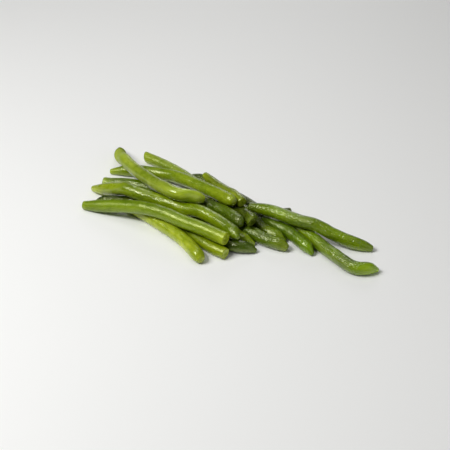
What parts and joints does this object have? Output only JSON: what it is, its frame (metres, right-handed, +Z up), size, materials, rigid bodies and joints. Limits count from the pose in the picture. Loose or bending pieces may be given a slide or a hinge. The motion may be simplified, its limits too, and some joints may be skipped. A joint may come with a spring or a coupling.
{
  "type": "green bean bundle",
  "caption": "Loose pile of cooked, trimmed green beans lying side by side and across one another on a flat surface.",
  "frame": {"origin": "middle of the pile's footprint, on the surface it lies on", "axes": "+X towards the right of the picture, along the pile's greatest length; +Y away from the viewer; +Z up"},
  "size_m": [0.2004, 0.1564, 0.0234],
  "materials": {
    "skin_light": "wet yellow-green skin, smooth and glossy",
    "skin_mid": "wet mid-green skin, smooth and glossy",
    "skin_dark": "wet dark green skin, smooth and glossy"
  },
  "bodies": {
    "root": {"bean_back_cut_low": "skin_light", "bean_back_dark_nub": "skin_dark", "bean_back_short": "skin_mid", "bean_front_cut_low": "skin_mid", "bean_front_dark_tip": "skin_dark", "bean_front_left_low": "skin_light", "bean_front_long": "skin_light", "bean_front_small_tip": "skin_dark", "bean_left_hidden_tip": "skin_dark", "bean_left_long_back": "skin_dark", "bean_left_long_front": "skin_mid", "bean_middle_dark_cut": "skin_dark", "bean_middle_short_nub": "skin_dark", "bean_middle_slim_tip": "skin_dark", "bean_right_long_back": "skin_dark", "bean_right_long_front": "skin_dark", "bean_right_short_front": "skin_dark", "bean_top_hooked": "skin_light", "bean_top_straight": "skin_mid"}
  },
  "joints": []
}
